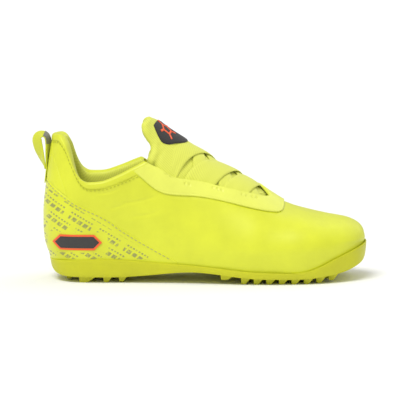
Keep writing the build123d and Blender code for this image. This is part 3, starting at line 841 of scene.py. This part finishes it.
# ---- ankle collar
# Each profile runs over the edge: height over it, and distance out of the skin (in is negative).
RIM_PROFILE = [
    (-4.6, -0.10), (-4.3, 0.55), (-3.0, 0.95), (-1.4, 0.95), (-0.2, 0.45), (0.5, -0.7), (0.8, -2.3),
    (0.7, -4.0), (0.1, -5.8), (-1.4, -7.3),
]
LINING_PROFILE = [
    (-0.5, -6.2), (-0.7, -7.2), (-1.6, -8.0), (-3.4, -8.7), (-7, -9.2), (-12, -9.3), (-18, -8.7),
    (-25, -7.4), (-33, -6.0),
]
# Below its profile the lining goes straight down in a few more rows, to this height.
LINING_TAIL = 10
LINING_FOOT = 19.0


def collar_columns():
    """Turns and edge heights of the columns that end at the ankle opening."""
    at_collar = TOP_X < COLLAR_FRONT - 0.4
    return TURNS[at_collar], TOP[at_collar]


def resampled(profile, count):
    """A profile of (height, lift) pairs as a smooth run of points."""
    table = np.array(profile, float)
    travel = path_lengths(table)
    at = np.linspace(0, travel[-1], count)
    heights = smooth(list(zip(travel, table[:, 0])))(at)
    lifts = smooth(list(zip(travel, table[:, 1])))(at)
    return heights, lifts


def make_collar_binding():
    turns, top = collar_columns()
    heights, lifts = resampled(RIM_PROFILE, 26)
    turn = in_column(turns, len(heights))
    z = top[:, None] + heights[None, :]
    lift = np.broadcast_to(lifts, z.shape) + 0.12 * wavy(skin(turn, z), 9, 11)
    outer = lifted(turn, z, lift)
    core = outer.mean(axis=1, keepdims=True)
    rim = sheet_object("collar_rim", outer, core + (outer - core) * 0.72)
    dress(rim, "binding", ["collar_binding"])


def make_collar_lining():
    turns, top = collar_columns()
    heights, lifts = resampled(LINING_PROFILE, 34)
    tail = np.linspace(0.1, 1, LINING_TAIL)
    turn = in_column(turns, len(heights) + LINING_TAIL)
    z_top = top[:, None] + heights[None, :]
    lower = z_top[:, -1:] + (LINING_FOOT - z_top[:, -1:]) * tail[None, :]
    z = np.concatenate([z_top, lower], axis=1)
    lift_low = lifts[-1] + (-3.8 - lifts[-1]) * tail ** 0.3
    lift = np.broadcast_to(np.concatenate([lifts, lift_low]), z.shape)
    # Low down the lining lies close to the stiffener, which leaves room for the insole to lift.
    deepest = -3.6 - 5.8 * ramp(z, 47, 15)
    lift = np.maximum(lift + 0.25 * wavy(skin(turn, z), 16, 13), deepest)
    lining = sheet_object("ankle_lining", lifted(turn, z, lift), lifted(turn, z, lift + 0.6))
    dress(lining, "lining", ["collar_lining"])


def make_collar_stitches():
    turns, top = collar_columns()
    centres, normals = line_on_skin(turns[3:-3], (top - 5.6)[3:-3], 0.12)
    thread = stitches("collar_stitching", centres, normals, length=2.0, gap=1.0)
    dress(thread, "thread_tone")


def make_forefoot_lining():
    """Inside face of the front half: from the insole up to the throat and ankle edge."""
    rows = 40
    shown = from_heel(TOP_X >= COLLAR_FRONT - 1.5)
    turns, top = from_heel(TURNS)[shown], from_heel(TOP)[shown]
    base = feather(skin(turns, np.full(len(turns), 12.0))[:, 0]) + 3.2
    z = base[:, None] + (top - 1.2 - base)[:, None] * fractions(rows, 0.3)[None, :]
    turn = in_column(turns, rows)
    face, back = level_sheet(turn, z, -2.95), level_sheet(turn, z, -2.25)
    lining = sheet_object("forefoot_lining", face, back)
    dress(lining, "lining", ["vamp_lining"])


def make_backstay():
    edge = smooth([(66, 19), (78, 14), (88, 10.5), (97, 7.5), (108, 7.2)])
    chosen = np.abs(TURNS) < 0.75
    turns = TURNS[chosen]
    low = PANEL_HIGH[chosen] + 0.3
    high = TOP[chosen] - 4.2

    def sunk_beside(flat, from_low, from_high):
        """Past its side edges the strap dips under the skin."""
        return np.where(flat[..., 0] > edge(flat[..., 2]), -1.0, 0.0)

    strap = band_object("heel_strap", turns, low, np.maximum(high, low + 0.5), 40, STRAP_THICK,
                        radius=0.7, relief=sunk_beside)
    dress(strap, "binding", ["backstay"])


# ---- tongue
# Height at which the free end of the tongue starts, and how far back its rear edge reaches.
TONGUE_CUT = smooth([
    (60, 76), (76, 87), (82.8, 92.8), (89, 101.5), (95, 105.6), (101, 105.2), (107.8, 103.4),
    (116, 101), (150, 90), (240, 75),
])
TONGUE_REAR = smooth([
    (60, 78.6), (88, 78.6), (92.5, 79.2), (97.5, 81.4), (101.5, 81.8), (107, 79.4), (113, 76.8),
    (117, 76.6), (120.2, 78.4), (121.5, 80),
])
TONGUE_LOW = 61.5
TONGUE_TIP = 121.4
TONGUE_FRONT = 176.0
TONGUE_MARGIN = 6.5
TONGUE_HALF = 24.5
TIP_CORNER = 15.0


def on_tongue(p):
    """Where the skin over a point belongs to the tongue's outline."""
    x, y, z = p[..., 0], p[..., 1], p[..., 2]
    out = y - middle(x)
    closing = np.sqrt(1 - ramp(x, THROAT_END, TONGUE_MARGIN) ** 2)
    strip = (out > -LATERAL_REACH(x) - TONGUE_MARGIN * closing)
    strip = strip & (out < MEDIAL_REACH(x) + TONGUE_MARGIN * closing) & (x < TONGUE_FRONT)
    half = TONGUE_HALF + 9 * ramp(-z, -99, 7)
    across = np.clip(np.abs(y - middle(90)) - (half - TIP_CORNER), 0, None)
    above = np.clip(z - (TONGUE_TIP + 0.1 - TIP_CORNER), 0, None)
    rounded = across ** 2 + above ** 2 <= TIP_CORNER ** 2
    return strip & (x > TONGUE_REAR(z)) & rounded


def tongue_columns(heights, count):
    """For each height, turns spread over the tongue from its lateral to its medial edge."""
    offsets = np.linspace(0, 2.2, 2600)
    edges = []
    for side in (-1, 1):
        turn = side * (math.pi - offsets)
        hit = on_tongue(skin(turn[None, :], heights[:, None]))
        start = np.argmax(hit, axis=1)
        ended = ~hit & (np.arange(len(offsets))[None, :] > start[:, None])
        last = np.where(ended.any(axis=1), np.argmax(ended, axis=1) - 1, len(offsets) - 1)
        edges.append(evened(side * np.maximum(offsets[last], 0.01), 5))
    share = np.linspace(0, 1, count)
    # Offsets from the front of the level: negative on the lateral side.
    return edges[0][:, None] + (edges[1] - edges[0])[:, None] * share[None, :]


def make_tongue():
    heights = TONGUE_LOW + (TONGUE_TIP - TONGUE_LOW) * fractions(120, 0.2)
    offset = tongue_columns(heights, 71)
    turn = np.where(offset < 0, -math.pi - offset, math.pi - offset)
    z = in_column(heights, offset.shape[1])
    flat = skin(turn, z)
    x = flat[..., 0]
    from_one, from_other = edge_distances(flat)
    from_tip, from_front = [d.T[::-1] for d in edge_distances(flat[::-1].transpose(1, 0, 2))]
    from_facing = np.minimum(np.minimum(from_one, from_other), from_front)
    edge = np.minimum(from_facing, from_tip)
    # The free end lies just under the skin. Under the laces the tongue lies deeper, most of all
    # beneath the facing's edges, and it is thinner.
    free = eased(ramp(z - TONGUE_CUT(x), -5, 3.5))
    between_edges = eased(ramp(from_facing, 5.5, 3))
    raised = 0.3 + 1.9 * ramp(x, 96, 10)
    under_laces = 3.3 + (raised - 3.3) * between_edges
    depth = under_laces + (0.55 - under_laces) * free
    thick = 3.0 + 3.0 * free
    roll = np.sqrt(1 - (1 - ramp(edge, 0, 2.0 + 2.2 * free)) ** 2)
    crown = 0.5 * free * (1 - np.exp(-edge / 9)) + 0.22 * wavy(flat, 20, 21) * free
    crease_along = ramp(z, 92.5, 10.5)
    crease_line = 88.2 - 1.2 * crease_along
    crease = bell(x, crease_line, 0.9) * np.sin(math.pi * crease_along) ** 0.5
    dent = 1.4 * crease * (flat[..., 1] < 0)
    outer = lifted(turn, z, -(depth + thick / 2) + (thick / 2 + crown) * roll - dent)
    inner = lifted(turn, z, -(depth + thick / 2) - thick / 2 * roll)
    outer[:, 0] = inner[:, 0]
    outer[:, -1] = inner[:, -1]
    tongue = sheet_object("tongue", outer, inner[:, 1:-1])
    paint(tongue, "tongue")
    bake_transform(tongue)
    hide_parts("tongue_base", "tongue_top", "tongue_lining")


def over_front(x, y):
    """Skin points over plan points of the arched front half, and their normals."""
    step = 0.4
    slope_x = (top_of(x + step, y) - top_of(x - step, y)) / (2 * step)
    slope_y = (top_of(x, y + step) - top_of(x, y - step)) / (2 * step)
    normal = np.stack([-slope_x, -slope_y, np.ones_like(slope_x)], -1)
    normal = normal / np.linalg.norm(normal, axis=-1, keepdims=True)
    return np.stack([x, y, top_of(x, y)], -1), normal


# ---- patch on the tongue
PATCH_HALF_WIDTHS = smooth([
    (80, 11), (82.4, 12.5), (85, 15), (89, 17), (93, 16), (99, 12.6), (105, 8), (106.8, 5.5),
    (107.8, 2.5),
])
PATCH_END = 107.8
MARK_CENTRE = (91.8, -6.4)
MARK_RING = 3.6
MARK_REACH = 6.6
MARK_BAR = 1.3


def make_tongue_patch():
    along = np.linspace(0, 1, 60)
    across = np.linspace(-1, 1, 31)
    rear = 86.2 - 3.6 * np.abs(across)
    x = rear[None, :] + (PATCH_END - rear[None, :]) * along[:, None]
    base, normal = over_front(x, middle(x) + PATCH_HALF_WIDTHS(x) * across[None, :])
    rim = np.minimum(1 - np.abs(across)[None, :], np.minimum(along, 1 - along)[:, None])
    lift = 0.15 + 0.55 * np.sqrt(ramp(rim, 0, 0.08))
    patch = sheet_object("tongue_patch", base + normal * lift[..., None], base - 0.5 * normal)
    dress(patch, "dark_cloth", ["tongue_label"], "tongue_end")


def make_patch_mark():
    """A five-sided ring with a bar out of each corner."""
    corners = [math.radians(72 * k + 18) for k in range(5)]

    def at(radius, angle):
        return np.array(MARK_CENTRE) + radius * np.array([math.cos(angle), math.sin(angle)])

    bars = [(at(MARK_RING, a), at(MARK_RING, b)) for a, b in zip(corners, corners[1:] + corners[:1])]
    bars += [(at(MARK_RING, a), at(MARK_REACH, a)) for a in corners]
    verts, faces = [], []
    for start, end in bars:
        sideways = (end - start)[::-1] * (-1, 1) / np.linalg.norm(end - start) * MARK_BAR / 2
        for share in np.linspace(-0.08, 1.08, 8):
            centre = start + (end - start) * share
            for edge, lift in ((-1, 0.3), (-0.85, 0.95), (0.85, 0.95), (1, 0.3)):
                spot = centre + sideways * edge
                base, normal = over_front(spot[0], middle(spot[0]) + spot[1])
                verts.append(base + normal * lift)
        first = len(verts) - 32
        faces.append(tuple(range(first, first + 4)))
        faces.append(tuple(range(first + 31, first + 27, -1)))
        for step in range(7):
            low = first + 4 * step
            for k in range(4):
                m = (k + 1) % 4
                faces.append((low + k, low + 4 + k, low + 4 + m, low + m))
    mark = mesh_object("patch_mark", to_frame(np.array(verts)), faces)
    dress(mark, "orange", ["label_mark"], "tongue_end")


# ---- laces
# Plan of each broad run, from the lateral to the medial edge of the throat: x of its rear and its
# front edge at the lateral edge, at the ridge and at the medial edge.
OVER_RUNS = [((85, 106.5, 122), (96.5, 121, 138)),
             ((101, 127, 140), (125.5, 143, 154)),
             ((131, 146, 152), (152, 160.5, 164))]
UNDER_RUNS = [((112, 111, 104), (125, 121, 114)),
              ((132, 124, 104), (148, 138, 121)),
              ((153, 146, 128), (165.5, 158, 146))]
LACE_THICK = 1.1


def bowed(values, share):
    """Quadratic through three plan values, at shares of the way across."""
    first, mid, last = values
    bend = mid - (first + last) / 2
    straight = first + (last - first) * share
    return straight + 4 * bend * share * (1 - share)


def lace_run(name, run, height, tilt, seed):
    """One broad flat run over the tongue, from under one edge of the facing to under the other."""
    steps, across = 90, 17
    share = np.linspace(0, 1, steps)
    rear, front = bowed(run[0], share), bowed(run[1], share)
    offsets = np.linspace(0, 1, across)
    x = rear[:, None] + (front - rear)[:, None] * offsets[None, :]
    low, high = -LATERAL_REACH(x) - 3.5, MEDIAL_REACH(x) + 3.5
    y = middle(x) + low + (high - low) * share[:, None]
    base, normal = over_front(x, y)
    out_of_edge = np.clip(np.sin(math.pi * share), 0, 1)[:, None]
    centre = 2 * offsets[None, :] - 1
    folds = 0.28 * wavy(base, 13, seed) * out_of_edge
    gathered = 0.3 * np.cos(centre * 7.5) * (1 - out_of_edge) ** 1.5
    lift = -2.6 + (height + 2.6) * out_of_edge ** 0.45
    lift = lift + tilt * centre * out_of_edge + 0.25 * (1 - centre ** 2) + folds + gathered
    half = LACE_THICK / 2 * np.sqrt(np.clip(1 - np.abs(centre) ** 8, 0.03, 1))
    top = base + normal * (lift + half)[..., None]
    bottom = base + normal * (lift - half)[..., None]
    return sheet_object(name, top, bottom)


def make_laces():
    made = []
    for i, run in enumerate(UNDER_RUNS):
        made.append(lace_run(f"lace_under_{i + 1}", run, -1.5, 0.0, 31 + i))
    for i, run in enumerate(OVER_RUNS):
        made.append(lace_run(f"lace_over_{i + 1}", run, -0.4, 0.6, 41 + i))
    for obj in made:
        dress(obj, "lace")
    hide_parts("lace")


# ---- pull loop
# Centre line of the webbing in side view, from the root up the rear strand and down the front one,
# and how far the strap is twisted towards the side at each point, in degrees.
LOOP_PATH = [
    (1.4, 82.4, 0), (-1.6, 91, 26), (-3.9, 98.5, 42), (-4.9, 104, 44), (-3.6, 107.3, 32),
    (-0.6, 108.5, 18), (2.5, 106.8, 16), (3.8, 101, 20), (3.2, 94, 14), (2.3, 82.8, 0),
]
LOOP_WIDTH = 10.5
LOOP_THICK = 1.5


def strap(name, first, last, width, thick):
    """A piece of the loop's webbing between two shares of its length."""
    table = np.array(LOOP_PATH, float)
    travel = path_lengths(table[:, :2])
    share = travel / travel[-1]
    at = np.linspace(first, last, 90)
    x, z, twist = [smooth(list(zip(share, table[:, c])))(at) for c in range(3)]
    x, z, twist = evened(x, 6), evened(z, 6), np.radians(evened(twist, 6))
    along = np.stack([np.gradient(x), np.gradient(z)], -1)
    along = along / np.linalg.norm(along, axis=1, keepdims=True)
    normal = np.stack([-along[:, 1], np.zeros(len(at)), along[:, 0]], -1)
    sideways = np.array([0.0, 1.0, 0.0])
    across = np.cos(twist)[:, None] * sideways + np.sin(twist)[:, None] * normal
    facing = np.cos(twist)[:, None] * normal - np.sin(twist)[:, None] * sideways
    centre = np.stack([x, np.zeros(len(at)), z], -1)
    angles = np.linspace(0, 2 * math.pi, 28, endpoint=False)
    wide = np.sign(np.cos(angles)) * np.abs(np.cos(angles)) ** 0.35 * width / 2
    deep = np.sign(np.sin(angles)) * np.abs(np.sin(angles)) ** 0.7 * thick / 2
    grid = centre[:, None] + across[:, None] * wide[None, :, None] + facing[:, None] * deep[None, :, None]
    return grid_object(name, grid)


def make_pull_loop():
    loop = strap("heel_loop", 0.0, 1.0, LOOP_WIDTH, LOOP_THICK)
    dress(loop, "webbing", ["pull_tab"], "pull_loop")
    patch = strap("heel_loop_patch", 0.53, 0.68, LOOP_WIDTH * 0.985, LOOP_THICK + 0.5)
    dress(patch, "loop_patch", body="pull_loop")


# ---- sole and small soft pieces
def softened(name, node, radius):
    """A new piece in the shape of a CAD node with its sharp edges rounded off."""
    bm = bmesh.new()
    bm.from_mesh(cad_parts[node].data)
    bmesh.ops.remove_doubles(bm, verts=bm.verts, dist=2e-6)
    mesh = bpy.data.meshes.new(name)
    bm.to_mesh(mesh)
    bm.free()
    piece = added(name, mesh)
    bevel = piece.modifiers.new("soft_edges", "BEVEL")
    bevel.width = radius * MM
    bevel.segments = 2
    bevel.angle_limit = math.radians(32)
    evaluated = piece.evaluated_get(bpy.context.evaluated_depsgraph_get())
    piece.data = bpy.data.meshes.new_from_object(evaluated)
    piece.modifiers.clear()
    shade_smooth(piece.data)
    return piece


def make_softened_pieces():
    dress(softened("cup_sole", "outsole", 0.42), "sole", ["outsole"])
    pad = softened("insole_pad", "sockliner", 1.2)
    dress(pad, "sock", ["sockliner"], "insole")
    dress(softened("lace_guides", "lace_loops", 0.3), "webbing", ["lace_loops"])
    dress(softened("loop_anchor", "tab_anchor", 0.4), "webbing", ["tab_anchor"])


# ---- CAD nodes that stay
CAD_LOOKS = {
    "midsole": "foam", "bottom_filler": "board", "insole_board": "board",
    "toe_puff": "board", "heel_counter": "board", "collar_foam": "foam",
    "eyestay_backing": "board", "heel_badge": "dark", "heel_badge_edge": "orange",
}


def dress_cad_nodes():
    for node, material in CAD_LOOKS.items():
        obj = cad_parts[node]
        paint(obj, material)
        shade_smooth(obj.data)
        crisp = obj.modifiers.new("edge_normals", "EDGE_SPLIT")
        crisp.split_angle = math.radians(35)


# ---- stage
def aimed(name, light, place):
    """Adds a lamp at a place, turned towards the middle of the shoe."""
    lamp = added(name, light)
    lamp.location = place
    lamp.rotation_mode = "QUATERNION"
    lamp.rotation_quaternion = (Vector(place) - Vector((0, 0, 0.05))).to_track_quat("Z", "Y")


def make_stage():
    """A pale floor, an even white world and three wide suns."""
    bpy.ops.mesh.primitive_plane_add(size=60, location=(0, 0, CAD_BOX[0][2]))
    floor = bpy.context.object
    floor.name = "floor"
    floor.data.materials.append(floor_material())
    world = bpy.data.worlds.new("studio")
    bpy.context.scene.world = world
    world.use_nodes = True
    background = world.node_tree.nodes["Background"]
    background.inputs["Color"].default_value = (1, 1, 1, 1)
    background.inputs["Strength"].default_value = 0.50
    for name, place, strength, spread in (
        ("key", (-0.42, -0.66, 1.42), 1.95, 30),
        ("fill", (-0.15, -1.0, 0.16), 0.15, 80),
        ("rim", (0.9, 0.6, 1.0), 0.55, 60),
    ):
        light = bpy.data.lights.new(name, "SUN")
        light.energy = strength
        light.angle = math.radians(spread)
        aimed(name, light, place)


def make_camera():
    """The photograph's view: the outer side, a little from above, through a long lens."""
    data = bpy.data.cameras.new("camera")
    camera = added("camera", data)
    bpy.context.scene.camera = camera
    view_width, distance, elevation = 0.300, 1.8, math.radians(7)
    target = Vector((ORIGIN[0] + 0.117, ORIGIN[1], 0.0585))
    back = Vector((0, -math.cos(elevation), math.sin(elevation)))
    camera.location = target + back * distance
    camera.rotation_mode = "QUATERNION"
    camera.rotation_quaternion = back.to_track_quat("Z", "Y")
    data.sensor_width = 36
    data.lens = data.sensor_width * distance / view_width
    data.clip_start, data.clip_end = 0.05, 20


bpy.context.scene.view_settings.view_transform = "Standard"
make_camera()
make_stage()
dress_cad_nodes()
make_upper()
make_heel_panel()
make_panel_stitches()
make_eyestay()
make_collar_binding()
make_collar_lining()
make_collar_stitches()
make_forefoot_lining()
make_backstay()
make_tongue()
make_laces()
make_tongue_patch()
make_patch_mark()
make_pull_loop()
make_softened_pieces()
